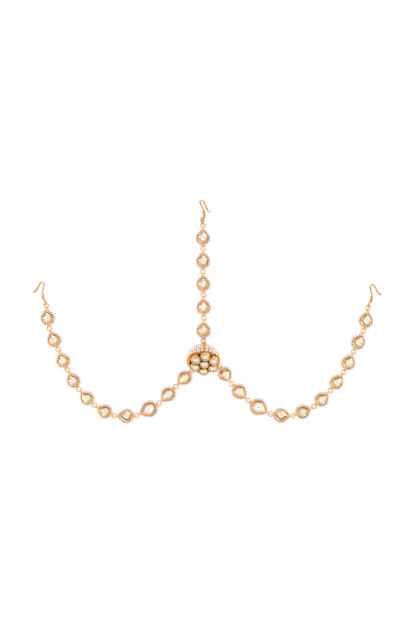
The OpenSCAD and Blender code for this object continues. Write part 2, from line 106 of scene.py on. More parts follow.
# Runs, bend radii and turns of a hook, the lengths as shares of the hook's length
SIDE_BENDS = [(0.291, 0.17, -37), (0.43, 0.1, 164), (0.284, 0.3, -41), (0.04, 0, 0)]
TOP_BENDS = [(0.385, 0.14, -36), (0.434, 0.09, 183), (0.418, 0.12, -46), (0.09, 0, 0)]
# Lean of each hook's neck, its bare length below the wrap, its bends, and the side it turns to
HOOKS = {
    "left": (26, 1.7, SIDE_BENDS, -1),
    "right": (26, 1.7, SIDE_BENDS, 1),
    "top": (10, 3.0, TOP_BENDS, 1),
}
# The top hook's wire end that turns up beside its neck, from the middle of the eye
TAIL = [
    (0.2, -1.0, 0.3), (-0.8, -0.5, 0.4), (-1.35, 0.6, 0.5), (-1.4, 1.9, 0.5), (-1.25, 3.1, 0.5),
]
TAIL_WIRE, TAIL_POINTS, TIP_R, TIP_AT = 1.0, 16, 1.3, (-1.2, 3.3, 0.5)

# Profiles of the bands round a setting: offset out from its rim, and height above its base
CUP_OUT = -(RIM_T + GROOVE_W)
BEZEL = [
    (CUP_OUT + 0.02, CUP_H - 0.2), (CUP_OUT + 0.02, CUP_H + 0.33), (CUP_OUT - 0.05, CUP_H + 0.38),
    (CUP_OUT - 1.1, CUP_H - 0.27), (CUP_OUT - 1.1, CUP_H - 0.36), (CUP_OUT - 0.6, CUP_H - 0.2),
]
SLOPE = [
    (-0.3, RIM_H + 0.02), (-0.36, RIM_H + 0.08), (CUP_OUT - 0.02, RIM_H + 0.66),
    (CUP_OUT - 0.06, RIM_H + 0.62), (CUP_OUT - 0.06, RIM_H + 0.1), (-RIM_T - 0.1, RIM_H - 0.12),
]
ROLL = [
    (0.08, RIM_H - 0.35), (0.13, RIM_H - 0.2), (0.13, RIM_H - 0.02), (0.04, RIM_H + 0.12),
    (-0.12, RIM_H + 0.17), (-0.28, RIM_H + 0.14), (-0.38, RIM_H + 0.02), (-0.3, RIM_H - 0.1),
]
# The same for the bands round a cup of the flower
CUP_FOOT = [
    (-0.05, 1.3), (0.08, 1.32), (0.72, 0.62), (0.86, 0.4),
    (0.86, 0.15), (0.6, 0.06), (-0.05, 0.06),
]
CUP_ENAMEL = [(-0.04, 1.22), (0.05, 1.28), (0.05, PETAL_H - 0.55), (-0.04, PETAL_H - 0.48)]
CUP_BEZEL = [
    (-0.42, PETAL_H - 0.06), (-0.5, PETAL_H + 0.05), (-0.62, PETAL_H + 0.07),
    (-1.5, PETAL_H - 0.24), (-1.5, PETAL_H - 0.34), (-0.9, PETAL_H - 0.34),
]

# Painted light: the plate, rims and wraps are lighter to lift their shade, and the bezels and
# slopes are paler as a painted highlight
# Gold plate by part, as copies of one gold: its gold, the deeper gold of its patches, roughness,
# and share of the dents
GOLDS = {
    "PlateGoldPaintedLight": ((252, 212, 156), (234, 176, 112), 0.22, 0.35),
    "SlopeGold": ((240, 204, 148), (222, 176, 114), 0.03, 0.1),
    "RollGold": ((248, 208, 152), (226, 174, 112), 0.2, 0.3),
    "BezelGold": ((237, 210, 168), (223, 186, 136), 0.12, 0.3),
    "ColletGold": ((255, 246, 226), (250, 226, 190), 0.14, 0.2),
    "PetalGold": ((240, 202, 160), (220, 168, 120), 0.16, 0.25),
    "WireGold": ((222, 180, 122), (178, 130, 78), 0.2, 0.15),
    "LinkGold": ((232, 184, 122), (192, 138, 76), 0.2, 0.2),
    "StrapGold": ((230, 174, 116), (190, 126, 72), 0.2, 0.4),
    "WrapGold": ((232, 188, 138), (194, 142, 92), 0.2, 0.3),
    "FootGold": ((224, 150, 82), (172, 96, 42), 0.2, 0.5),
    "DomeGold": ((236, 182, 122), (204, 134, 78), 0.24, 0.4),
    "CupGold": ((226, 170, 112), (186, 120, 64), 0.2, 0.4),
}
GOLD_GLANCE = (255, 214, 160)
# Painted shade inside the dome and low down between the flower's cups
DOME_SHADE, CUP_SHADE = (226, 160, 98), (58, 34, 8)
# Depths into the dome's wall between which its painted inside shade turns to its outside gold, and
# distances out and up from the flower's middle over which the painted shade between its cups turns
# to open cups
DOME_SKIN, HOLLOW_OUT, HOLLOW_UP = (0.35, 0.2), (5.8, 8.6), (2.2, 2.9)
# Scales of the patterns, in patches a metre, and where on their values a mask runs from 0 to 1
TONE_SCALE, SCRATCH_SCALE, CLOUD_SCALE, FLECK_SCALE, GLINT_SCALE = 420, 2600, 700, 900, 1100
TONE_RANGE, CLOUD_RANGE = (0.35, 0.7), (0.35, 0.65)
FLECK_RANGE, GLINT_RANGE = (0.32, 0.5), (0.45, 0.85)
# The same for how far a stone's table and a pearl's palest part face along their axis, where
# painted reflection and painted light change their tones
TABLE_FACING, PEARL_FACING = (0.955, 0.985), (0.0, 0.8)
SCRATCH_STRETCH, DEEP_SHARE, SCRATCH_SHARE, SHADE_METAL = (1, 0.35, 1), 0.45, 0.1, 0.5
DENT_DEPTH, PEARL_SKIN = 0.06, 0.9


# The pear outline and the places of things

SHOULDER = math.asin(SIDE_STRAIGHT * (PEAR_W / 2) / (PEAR_L - PEAR_W / 2))


def pear_sizes(share):
    """Radius of the round end, and the extra radius and middle of the long arcs."""
    round_r = share * PEAR_W / 2
    tip_y = share * (PEAR_L - PEAR_W / 2)
    bow = (tip_y**2 - round_r**2) / (2 * (round_r - tip_y * math.sin(SHOULDER)))
    return round_r, bow, bow * math.cos(SHOULDER), bow * math.sin(SHOULDER)


def pear_outline(share, offset, corners):
    """Points of the pear outline, evenly round it from the tip, at an offset out from the rim."""
    round_r, bow, bow_x, bow_y = pear_sizes(share)
    r = round_r + offset
    bow_r = r + bow
    tip_turn = math.acos(bow_x / bow_r)
    half = []
    for k in range(ARC_STEPS):
        a = tip_turn + (SHOULDER - tip_turn) * k / ARC_STEPS
        half.append((bow_r * math.cos(a) - bow_x, bow_r * math.sin(a) - bow_y))
    for k in range(2 * ARC_STEPS + 1):
        a = SHOULDER - (math.pi / 2 + SHOULDER) * k / (2 * ARC_STEPS)
        half.append((r * math.cos(a), r * math.sin(a)))
    whole = half + [(-x, y) for x, y in half[-2:0:-1]]
    return evenly(whole + whole[:1], corners + 1)[:-1]


def round_outline(radius, offset, corners):
    r = radius + offset
    turns = [2 * math.pi * k / corners for k in range(corners)]
    return [(r * math.sin(a), r * math.cos(a)) for a in turns]


def foot_outline(radius, outward, offset, corners):
    """A circle whose offset is whole on its outward side and fades to none on the other."""
    points = []
    for k in range(corners):
        a = 2 * math.pi * k / corners
        r = radius + offset * max(0, (1 + FOOT_FADE * math.cos(a - outward)) / (1 + FOOT_FADE))
        points.append((r * math.cos(a), r * math.sin(a)))
    return points


def evenly(points, count):
    """Points spaced evenly along a line of points, both ends kept."""
    along = [0.0]
    for a, b in zip(points, points[1:]):
        along.append(along[-1] + math.dist(a, b))
    spaced, k = [], 0
    for i in range(count):
        at = along[-1] * i / (count - 1)
        while k < len(points) - 2 and along[k + 1] < at:
            k += 1
        span = along[k + 1] - along[k] or 1.0
        t = (at - along[k]) / span
        spaced.append(tuple(p + (q - p) * t for p, q in zip(points[k], points[k + 1])))
    return spaced


def moved(x, y, z):
    return Matrix.Translation((x, y, z))


def turned(degrees, axis):
    return Matrix.Rotation(math.radians(degrees), 4, axis)


def from_to(start, end):
    """Turns +Y to run from one point to another, with X kept level, as the CAD source does."""
    d = Vector(end) - Vector(start)
    heading = math.degrees(math.atan2(d.y, d.x)) - 90
    climb = math.degrees(math.asin(d.z / d.length))
    return moved(*start) @ turned(heading, "Z") @ turned(climb, "X")


def on_route(route, t):
    """A point on a smooth curve through a route, which runs on straight past the last point."""
    n = len(route) - 1
    if t >= n:
        return route[n] + (route[n] - route[n - 1]) * (t - n)
    i = int(t)
    q, r = route[i], route[i + 1]
    p = route[i - 1] if i > 0 else 2 * q - r
    s = route[i + 2] if i < n - 1 else 2 * r - q
    f = t - i
    bend = (2 * p - 5 * q + 4 * r - s) * f**2 + (3 * q - p - 3 * r + s) * f**3
    return (2 * q + (r - p) * f + bend) / 2


def next_place(route, start, distance, rise):
    """The next place along a route that lies a distance away, with a rise between the two."""
    flat = math.sqrt(distance**2 - rise**2)
    low, high = start, start + SEARCH_SPAN
    for _ in range(SEARCH_STEPS):
        middle = (low + high) / 2
        if (on_route(route, middle) - on_route(route, start)).length < flat:
            low = middle
        else:
            high = middle
    return low


def strand_loops(strand, first):
    """The loops that a strand passes: the dome's loop, two for each pear, and the hook's eye."""
    route = [Vector(p) for p in (first[:2], *ROUTES[strand])]
    loops, t = [first], 0
    for i, (share, roll) in enumerate(PEARS[strand]):
        a = math.radians(roll)
        plate_r = pear_sizes(share)[0] + PEARL_GAP + STRING_D / 2
        far_z = plate_r * abs(math.sin(a)) + LOOP_Z * math.cos(a)
        rise = 0 if i > 0 else FIRST_RISE[strand]
        t = next_place(route, t, LINK_D, far_z + rise - loops[-1][2])
        loops.append((*on_route(route, t), far_z + rise))
        t = next_place(route, t, share * PEAR_L + 2 * LOOP_REACH, rise)
        loops.append((*on_route(route, t), far_z))
    t = next_place(route, t, LINK_D, LOOP_Z - loops[-1][2])
    loops.append((*on_route(route, t), LOOP_Z))
    return loops


def way_out(heading, fall):
    h, f = math.radians(heading), math.radians(fall)
    return Vector((math.cos(h) * math.cos(f), math.sin(h) * math.cos(f), -math.sin(f)))


# The loops are found from the dome's centre first, and then moved so that the whole ornament lies
# evenly round the origin
DOME_OUT = DOME_R + PEARL_GAP + DOME_PEARL_D
top_y = (DOME_OUT - LOOP_Z) * math.tan(math.radians(DOME_LEAN))
LOOPS = {"top": strand_loops("top", (0, top_y, LOOP_Z))}
for strand, angles in SIDE_LOOPS.items():
    x, y, z = (DOME_OUT + SIDE_STEM) * way_out(*angles)
    LOOPS[strand] = strand_loops(strand, (x, y, DOME_OUT + z))
middle_x = (LOOPS["left"][-1][0] + LOOPS["right"][-1][0]) / 2
lowest_y = min(y for _, y, _ in LOOPS["left"] + LOOPS["right"]) - PEAR_W / 2 - STRING_D
highest_y = LOOPS["top"][-1][1] + HOOK_L + HOOK_WIRE
PENDANT_AT = (-middle_x, -(lowest_y + highest_y) / 2, DOME_OUT)
for strand, loops in LOOPS.items():
    LOOPS[strand] = [(x + PENDANT_AT[0], y + PENDANT_AT[1], z) for x, y, z in loops]


def pear_place(strand, i):
    share, roll = PEARS[strand][i]
    start, end = LOOPS[strand][2 * i + 1:2 * i + 3]
    middle = moved(0, pear_sizes(share)[0] + LOOP_REACH, -LOOP_Z)
    return from_to(start, end) @ turned(roll, "Y") @ middle


PENDANT = moved(*PENDANT_AT) @ turned(DOME_LEAN, "X")
FLOWER_EDGE = PETAL_PITCH + PETAL_D / 2
FLOWER = (
    PENDANT
    @ moved(FLOWER_RIGHT, FLOWER_EDGE + FLOWER_UP, PETAL_Z)
    @ turned(-FLOWER_LEAN, "X")
    @ moved(0, -FLOWER_EDGE, 0)
    @ turned(FLOWER_TURN, "Z")
)
UP = Vector((0, 0, 1))
FLOWER_WAY = FLOWER.to_3x3() @ UP
# The way that the dome's lit upper side faces
DOME_WAY = PENDANT.to_3x3() @ Vector((0, 0.7, -0.7))


# Modelling helpers


def deselect():
    if bpy.context.object and bpy.context.object.mode != "OBJECT":
        bpy.ops.object.mode_set(mode="OBJECT")
    bpy.ops.object.select_all(action="DESELECT")


def pick(piece):
    """Makes a piece the only one selected, and the active one."""
    deselect()
    piece.select_set(True)
    bpy.context.view_layer.objects.active = piece


def settle(piece, place, name="part"):
    """Puts a piece's place, in millimetres, into its mesh and leaves its object at the origin."""
    piece.data.transform(Matrix.Diagonal((MM, MM, MM, 1)) @ place @ piece.matrix_basis)
    piece.matrix_basis = Matrix.Identity(4)
    piece.name = piece.data.name = name
    return piece


def copies(model, places, name):
    """One piece made of copies of a model at the places given, each with its own mesh."""
    made = []
    for place in places:
        twin = model.copy()
        twin.data = model.data.copy()
        bpy.context.collection.objects.link(twin)
        made.append(settle(twin, place))
    return joined(made, name)


def joined(parts, name):
    pick(parts[0])
    for part in parts:
        part.select_set(True)
    if len(parts) > 1:
        bpy.ops.object.join()
    piece = bpy.context.view_layer.objects.active
    piece.name = piece.data.name = name
    return piece


def face_out():
    """Turns all the faces of the active piece outwards."""
    bpy.ops.object.mode_set(mode="EDIT")
    bpy.ops.mesh.select_all(action="SELECT")
    bpy.ops.mesh.normals_make_consistent(inside=False)
    bpy.ops.object.mode_set(mode="OBJECT")


def dress(piece, material, smooth, replaced=()):
    """Shades a finished piece, gives it its material, and ties it to the ornament."""
    pick(piece)
    bpy.ops.object.shade_smooth_by_angle(angle=math.radians(smooth))
    piece.data.materials.clear()
    piece.data.materials.append(material)
    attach(piece, "root")
    if replaced:
        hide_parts(*replaced)


def ball(radius, spot=(0, 0, 0), segments=20, rings=12):
    deselect()
    bpy.ops.mesh.primitive_uv_sphere_add(
        segments=segments, ring_count=rings, radius=radius, location=spot
    )
    return bpy.context.object


def ring(radius, wire_r, segments, wire_segments, **place):
    deselect()
    bpy.ops.mesh.primitive_torus_add(
        major_radius=radius, minor_radius=wire_r,
        major_segments=segments, minor_segments=wire_segments, **place,
    )
    return bpy.context.object


def wire(points, diameter, sides, closed=False, taper=None):
    """A round wire through points, as a mesh with closed ends. taper gives each point's share of
    the diameter."""
    curve = bpy.data.curves.new("wire", "CURVE")
    curve.dimensions = "3D"
    curve.bevel_depth = diameter / 2
    curve.bevel_resolution = max(0, sides // 2 - 2)
    curve.use_fill_caps = True
    spline = curve.splines.new("POLY")
    spline.points.add(len(points) - 1)
    for k, p in enumerate(points):
        spline.points[k].co = (*p, 1)
        spline.points[k].radius = taper[k] if taper else 1
    spline.use_cyclic_u = closed
    piece = bpy.data.objects.new("wire", curve)
    bpy.context.collection.objects.link(piece)
    pick(piece)
    bpy.ops.object.convert(target="MESH")
    return bpy.context.view_layer.objects.active


def outline_band(profile, outline_at, corners):
    """A closed band round an outline: a ring of corners, extruded through the points of a profile.
    outline_at gives the ring's points at an offset; the profile is (offset, height) pairs."""
    deselect()
    bpy.ops.mesh.primitive_circle_add(vertices=corners, radius=1, fill_type="NOTHING")
    piece = bpy.context.object
    rings = [[(x, y, z) for x, y in outline_at(offset, corners)] for offset, z in profile]
    for vertex, point in zip(piece.data.vertices, rings[0]):
        vertex.co = point
    for points in rings[1:]:
        before = len(piece.data.vertices)
        bpy.ops.object.mode_set(mode="EDIT")
        bpy.ops.mesh.extrude_edges_move()
        bpy.ops.object.mode_set(mode="OBJECT")
        # extrude keeps the ring's order, so each new vertex takes the matching point
        for vertex, point in zip(list(piece.data.vertices)[before:], points):
            vertex.co = point
    bpy.ops.object.mode_set(mode="EDIT")
    bpy.ops.mesh.select_all(action="DESELECT")
    bpy.ops.mesh.select_mode(type="VERT")
    bpy.ops.object.mode_set(mode="OBJECT")
    last = len(piece.data.vertices) - corners
    for k, vertex in enumerate(piece.data.vertices):
        vertex.select = k < corners or k >= last
    bpy.ops.object.mode_set(mode="EDIT")
    bpy.ops.mesh.select_mode(type="EDGE")
    bpy.ops.mesh.bridge_edge_loops()
    face_out()
    return piece


# Shader helpers


def srgb(r, g, b):
    def linear(c):
        c /= 255
        return c / 12.92 if c <= 0.04045 else ((c + 0.055) / 1.055) ** 2.4

    return (linear(r), linear(g), linear(b), 1)


def new_group(name, inputs, outputs):
    group = bpy.data.node_groups.new(name, "ShaderNodeTree")
    for label, kind, value in inputs:
        socket = group.interface.new_socket(name=label, in_out="INPUT", socket_type=kind)
        socket.default_value = value
    for label, kind in outputs:
        group.interface.new_socket(name=label, in_out="OUTPUT", socket_type=kind)
    return group, group.nodes.new("NodeGroupInput"), group.nodes.new("NodeGroupOutput")


def new_material(name):
    material = bpy.data.materials.new(name)
    material.use_nodes = True
    tree = material.node_tree
    return material, tree, tree.nodes["Principled BSDF"]


def add(tree, kind, **values):
    node = tree.nodes.new(kind)
    for key, value in values.items():
        setattr(node, key, value)
    return node


def feed(tree, socket, value):
    """Links a socket to an output, or gives it a plain value."""
    if isinstance(value, bpy.types.NodeSocket):
        tree.links.new(value, socket)
    else:
        socket.default_value = value


def put(node, values):
    """Gives a node's inputs their plain values, by name."""
    for name, value in values.items():
        node.inputs[name].default_value = value


def maths(tree, operation, *values):
    node = add(tree, "ShaderNodeMath", operation=operation)
    for socket, value in zip(node.inputs, values):
        feed(tree, socket, value)
    return node.outputs["Value"]


def vector_maths(tree, operation, *values):
    node = add(tree, "ShaderNodeVectorMath", operation=operation)
    for socket, value in zip(node.inputs, values):
        feed(tree, socket, value)
    return node.outputs["Vector" if operation in ("SUBTRACT", "CROSS_PRODUCT") else "Value"]


def mixed(tree, factor, a, b):
    """A colour mix node's result, from outputs or plain values."""
    node = add(tree, "ShaderNodeMix", data_type="RGBA")
    # the node has sockets for each data type, and these are the colour ones
    for index, value in ((0, factor), (6, a), (7, b)):
        feed(tree, node.inputs[index], value)
    return node.outputs[2]


def ramped(tree, factor, low, high):
    """A mask that rises from 0 at low to 1 at high."""
    node = add(tree, "ShaderNodeMapRange", interpolation_type="SMOOTHSTEP")
    put(node, {"From Min": low, "From Max": high})
    tree.links.new(factor, node.inputs["Value"])
    return node.outputs["Result"]


def noise(tree, vector, scale, detail=2):
    node = add(tree, "ShaderNodeTexNoise")
    put(node, {"Scale": scale, "Detail": detail})
    tree.links.new(vector, node.inputs["Vector"])
    return node.outputs["Fac"]


def spot_on_piece(tree):
    return add(tree, "ShaderNodeTexCoord").outputs["Object"]


def facing(tree, axis):
    """How far the surface faces along an axis: 1 straight along it, 0 side on."""
    normal = add(tree, "ShaderNodeTexCoord").outputs["Normal"]
    return vector_maths(tree, "DOT_PRODUCT", normal, axis)


# Materials


def plated_gold():
    """Gold plate over hand-finished metal: soft tone patches, fine scratches and small dents."""
    group, given, out = new_group(
        "PlatedGold",
        [
            ("Gold", "NodeSocketColor", srgb(238, 182, 112)),
            ("Deep Gold", "NodeSocketColor", srgb(196, 126, 62)),
            ("Roughness", "NodeSocketFloat", 0.2),
            ("Dents", "NodeSocketFloat", 0.1),
        ],
        [
            ("Colour", "NodeSocketColor"),
            ("Roughness", "NodeSocketFloat"),
            ("Normal", "NodeSocketVector"),
        ],
    )
    place = spot_on_piece(group)
    patches = noise(group, place, TONE_SCALE, detail=3)
    stretch = add(group, "ShaderNodeMapping")
    put(stretch, {"Scale": SCRATCH_STRETCH})
    feed(group, stretch.inputs["Vector"], place)
    scratches = noise(group, stretch.outputs["Vector"], SCRATCH_SCALE)
    deep = maths(group, "MULTIPLY", ramped(group, patches, *TONE_RANGE), DEEP_SHARE)
    colour = mixed(group, deep, given.outputs["Gold"], given.outputs["Deep Gold"])
    rough = maths(group, "MULTIPLY_ADD", scratches, SCRATCH_SHARE, given.outputs["Roughness"])
    bump = add(group, "ShaderNodeBump")
    put(bump, {"Distance": DENT_DEPTH * MM})
    feed(group, bump.inputs["Strength"], given.outputs["Dents"])
    feed(group, bump.inputs["Height"], patches)
    feed(group, out.inputs["Colour"], colour)
    feed(group, out.inputs["Roughness"], rough)
    feed(group, out.inputs["Normal"], bump.outputs["Normal"])
    return group


def gold_finish(name, gold, deep, roughness, dents):
    material, tree, shader = new_material(name)
    finish = add(tree, "ShaderNodeGroup", node_tree=PLATED_GOLD)
    put(finish, {
        "Gold": srgb(*gold), "Deep Gold": srgb(*deep), "Roughness": roughness, "Dents": dents,
    })
    put(shader, {"Metallic": 1, "Specular Tint": srgb(*GOLD_GLANCE)})
    feed(tree, shader.inputs["Base Color"], finish.outputs["Colour"])
    feed(tree, shader.inputs["Roughness"], finish.outputs["Roughness"])
    feed(tree, shader.inputs["Normal"], finish.outputs["Normal"])
    return material


def shaded(material, mask, dark):
    """Paints shade into a gold finish: dark and half dull where a mask of its own tree is 0."""
    tree = material.node_tree
    shader = tree.nodes["Principled BSDF"]
    given = shader.inputs["Base Color"].links[0].from_socket
    feed(tree, shader.inputs["Base Color"], mixed(tree, mask, srgb(*dark), given))
    metal = maths(tree, "MULTIPLY_ADD", mask, 1 - SHADE_METAL, SHADE_METAL)
    feed(tree, shader.inputs["Metallic"], metal)


def dome_outside(tree):
    """Mask of the dome's painted shade: 0 inside its wall, 1 on its outside."""
    middle = [c * MM for c in PENDANT_AT]
    reach = vector_maths(tree, "DISTANCE", spot_on_piece(tree), middle)
    low, high = [(DOME_R - depth) * MM for depth in DOME_SKIN]
    return ramped(tree, reach, low, high)


def pearl_finish(name, axis, pale, blush, side):
    """Imitation seed pearls: clouded pale to blush where they face an axis, as painted light, and
    a painted shade tone beside.
    """
    material, tree, shader = new_material(name)
    clouds = ramped(tree, noise(tree, spot_on_piece(tree), CLOUD_SCALE), *CLOUD_RANGE)
    top = ramped(tree, facing(tree, axis), *PEARL_FACING)
    clouded = mixed(tree, clouds, srgb(*pale), srgb(*blush))
    feed(tree, shader.inputs["Base Color"], mixed(tree, top, srgb(*side), clouded))
    put(shader, {
        "Subsurface Weight": 0.4, "Subsurface Radius": (1, 0.8, 0.75),
        "Subsurface Scale": PEARL_SKIN * MM, "Roughness": 0.25,
        "Coat Weight": 0.4, "Coat Roughness": 0.08,
    })
    return material


def foiled_stone(name, axis, crown, table, dark_reflection):
    """Cut glass over foil, its reflections painted in: its crown has one tone, and its table,
    which faces along an axis, another; painted glints turn patches of each to the next tone, the
    table's to a darker reflection."""
    material, tree, shader = new_material(name)
    flat = ramped(tree, facing(tree, axis), *TABLE_FACING)
    painted_glints = add(tree, "ShaderNodeTexVoronoi")
    put(painted_glints, {"Scale": GLINT_SCALE})
    feed(tree, painted_glints.inputs["Vector"], spot_on_piece(tree))
    spots = ramped(tree, painted_glints.outputs["Color"], *GLINT_RANGE)
    on_crown = mixed(tree, spots, srgb(*crown), srgb(*table))
    on_table = mixed(tree, spots, srgb(*table), srgb(*dark_reflection))
    feed(tree, shader.inputs["Base Color"], mixed(tree, flat, on_crown, on_table))
    put(shader, {"Roughness": 0.05, "Coat Weight": 1, "Coat Roughness": 0.02})
    return material


def cup_hollows():
    """Mask of the flower's painted shade: 0 low down between its cups, 1 on their tops and outward
    sides.
    """
    group, _, out = new_group("CupHollows", [], [("Open", "NodeSocketFloat")])
    middle = FLOWER.translation * MM
    off = vector_maths(group, "SUBTRACT", spot_on_piece(group), middle)
    reach = vector_maths(group, "LENGTH", vector_maths(group, "CROSS_PRODUCT", off, FLOWER_WAY))
    height = vector_maths(group, "DOT_PRODUCT", off, FLOWER_WAY)
    outward = ramped(group, reach, *[d * MM for d in HOLLOW_OUT])
    high = ramped(group, height, *[d * MM for d in HOLLOW_UP])
    feed(group, out.inputs["Open"], maths(group, "MAXIMUM", outward, high))
    return group


def cups_open(tree):
    return add(tree, "ShaderNodeGroup", node_tree=CUP_HOLLOWS).outputs["Open"]


def fired_enamel(name, bright, dark):
    """Fired enamel with dark flecks, and painted shade low down between the cups."""
    material, tree, shader = new_material(name)
    flecks = ramped(tree, noise(tree, spot_on_piece(tree), FLECK_SCALE, detail=4), *FLECK_RANGE)
    mask = maths(tree, "MULTIPLY", flecks, cups_open(tree))
    feed(tree, shader.inputs["Base Color"], mixed(tree, mask, srgb(*dark), srgb(*bright)))
    put(shader, {"Roughness": 0.15, "Coat Weight": 0.6})
    return material


PLATED_GOLD = plated_gold()
CUP_HOLLOWS = cup_hollows()
GOLD = {name: gold_finish(name, *look) for name, look in GOLDS.items()}
# Painted shade: the dome's inside is darker and half dull
shaded(GOLD["DomeGold"], dome_outside(GOLD["DomeGold"].node_tree), DOME_SHADE)
# Painted shade: the flower's cups turn near black low down between them
shaded(GOLD["CupGold"], cups_open(GOLD["CupGold"].node_tree), CUP_SHADE)
# Painted light on the pearls where they face up, or face the dome's lit side, and painted shade on
# their other sides
pearl = pearl_finish("SeedPearl", UP, (238, 228, 226), (222, 205, 204), (166, 142, 144))
dome_pearl = pearl_finish("DomePearl", DOME_WAY, (255, 236, 226), (250, 214, 200), (250, 220, 208))
# Painted reflections on the stones: crown and table tones by facing, and glint patches
stone = foiled_stone("FoiledStone", UP, (226, 215, 215), (246, 241, 242), (208, 200, 204))
flower_stone = foiled_stone(
    "FlowerStone", FLOWER_WAY, (250, 246, 248), (236, 230, 236), (180, 170, 182)
)
# Painted dark reflection of the point below each stone
culet_reflection = foiled_stone("PaintedCuletReflection", UP, (200, 194, 197), (190, 183, 187), (164, 157, 163))
green = fired_enamel("GreenEnamel", (196, 224, 156), (48, 70, 22))

# Seed pearls round the settings, and their thread


def pearl_model(diameter):
    """A seed pearl: a ball swollen a little across its hole, which runs along Y."""
    piece = ball(diameter / 2, segments=SEED_FACETS, rings=SEED_RINGS)
    bpy.ops.object.mode_set(mode="EDIT")
    bpy.ops.transform.resize(value=(SEED_SWELL, SEED_SWELL, 1))
    bpy.ops.transform.rotate(value=math.radians(90), orient_axis="X", center_override=(0, 0, 0))
    bpy.ops.object.mode_set(mode="OBJECT")
    return piece


def string_paths(share):
    """The middles of a setting's two pearl strings, from near the tip to near the round end."""
    outline = pear_outline(share, SEED_OUT + SEED_D / 2, OUTLINE_POINTS)
    half = [p for p in outline[:OUTLINE_POINTS // 2 + 1] if p[0] >= STRING_BREAK]
    return [half, [(-x, y) for x, y in half]]


def laid_along(path, z, pitch):
    """Places along a path, with Y along it."""
    length = sum(math.dist(a, b) for a, b in zip(path, path[1:]))
    # one more is squeezed in where 0.3 of a pitch or more is left over
    count = round(length / pitch + 0.2) + 1
    points = evenly(path, count)
    places = []
    for k, (x, y) in enumerate(points):
        a, b = points[max(k - 1, 0)], points[min(k + 1, count - 1)]
        heading = math.degrees(math.atan2(b[1] - a[1], b[0] - a[0])) - 90
        places.append(moved(x, y, z) @ turned(heading, "Z"))
    return places


PEARL_Z = PLATE_T + PEARL_GAP + SEED_D / 2
seed = pearl_model(SEED_D)
for strand in PEARS:
    places, threads = [], []
    for i, (share, _) in enumerate(PEARS[strand]):
        at = pear_place(strand, i)
        for path in string_paths(share):
            places += [at @ p for p in laid_along(path, PEARL_Z, SEED_D + SEED_APART)]
            x = math.copysign(THREAD_END_X, path[0][0])
            line = [
                (x, path[0][1] + THREAD_PAST_TIP),
                *evenly(path, THREAD_POINTS),
                (x, path[-1][1] - THREAD_PAST_END),
            ]
            threads.append(settle(wire([(*p, PEARL_Z) for p in line], THREAD_D, 6), at))
    seeds = copies(seed, places, strand + "_seed_pearls")
    dress(seeds, pearl, 80, [strand + "_pearls"])
    dress(joined(threads, strand + "_pearl_wires"), GOLD["WireGold"], 60)
bpy.data.objects.remove(seed)

# The settings' bezels, polished slopes and rolled rims

BANDS = (
    (BEZEL, "_bezels", "BezelGold", 30),
    (SLOPE, "_slopes", "SlopeGold", 30),
    (ROLL, "_rims", "RollGold", 60),
)
for strand in PEARS:
    for profile, ending, finish, smooth in BANDS:
        bands = []
        for i, (share, _) in enumerate(PEARS[strand]):
            band = outline_band(profile, partial(pear_outline, share), BAND_CORNERS)
            bands.append(settle(band, pear_place(strand, i)))
        dress(joined(bands, strand + ending), GOLD[finish], smooth)

# A painted dark reflection on each stone's table, standing for the point below it seen through the
# glass

deselect()
bpy.ops.mesh.primitive_cone_add(vertices=8, radius1=HEART_R, radius2=HEART_TOP_R, depth=HEART_T)
core = bpy.context.object
for strand in PEARS:
    places = []
    for i, (share, _) in enumerate(PEARS[strand]):
        spot = moved(0, HEART_UP * share, CUP_H + STONE_RISE + HEART_RISE)
        size = Matrix.Diagonal((HEART_WIDE * share, HEART_LONG * share, 1, 1))
        places.append(pear_place(strand, i) @ spot @ size)
    dress(copies(core, places, strand + "_painted_culet_reflections"), culet_reflection, 20)
bpy.data.objects.remove(core)

# Hooks: one bent wire with an eye and a rounded end, and the wire wrapped round its neck


def ahead(heading):
    a = math.radians(heading)
    return Vector((math.sin(a), math.cos(a)))


def bent(bends, start):
    """Points along a hook's runs and bends, close enough together to look round."""
    points, at, heading = [tuple(start)], Vector(start), 0
    for run, radius, turn in bends:
        at = at + HOOK_L * run * ahead(heading)
        points.append(tuple(at))
        r = HOOK_L * radius * (1 if turn > 0 else -1)
        middle = at + r * ahead(heading + 90)
        steps = math.ceil(abs(turn) / BEND_STEP)
        for k in range(1, steps + 1):
            at = middle - r * ahead(heading + turn * k / steps + 90)
            points.append(tuple(at))
        heading += turn
    return points


